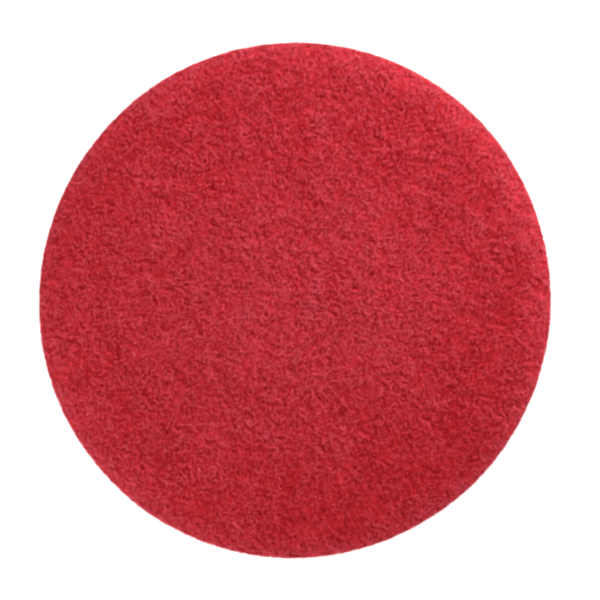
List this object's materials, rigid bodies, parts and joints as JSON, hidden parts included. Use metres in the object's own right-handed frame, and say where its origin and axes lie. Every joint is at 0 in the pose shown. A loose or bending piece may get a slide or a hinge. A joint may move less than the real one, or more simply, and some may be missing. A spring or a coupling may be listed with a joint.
{
  "type": "rotary floor machine pad",
  "caption": "Round red non-woven floor pad for a rotary floor machine, with soft rounded rim shoulders and a die-cut centre plug that pushes out to open the centring hole.",
  "frame": {"origin": "centre of the lower flat face, the face the pad lies on", "axes": "+Z along the pad's spin axis, from the lower face to the upper face; +X and +Y lie in the pad's plane and are equivalent apart from the plug's tabs, which sit at 45, 135, 225 and 315 degrees from +X"},
  "size_m": [0.4317, 0.4318, 0.0254],
  "materials": {
    "fibre_web": "open bonded fibre web, matt with a faint resin glint"
  },
  "bodies": {
    "pad": {"pad_ring": "fibre_web"},
    "plug": {"centre_plug": "fibre_web"}
  },
  "joints": [
    {"name": "plug_push_out", "type": "slide", "parent": "pad", "child": "plug", "axis": [0, 0, 1], "range_m": [0, 0.03]}
  ]
}
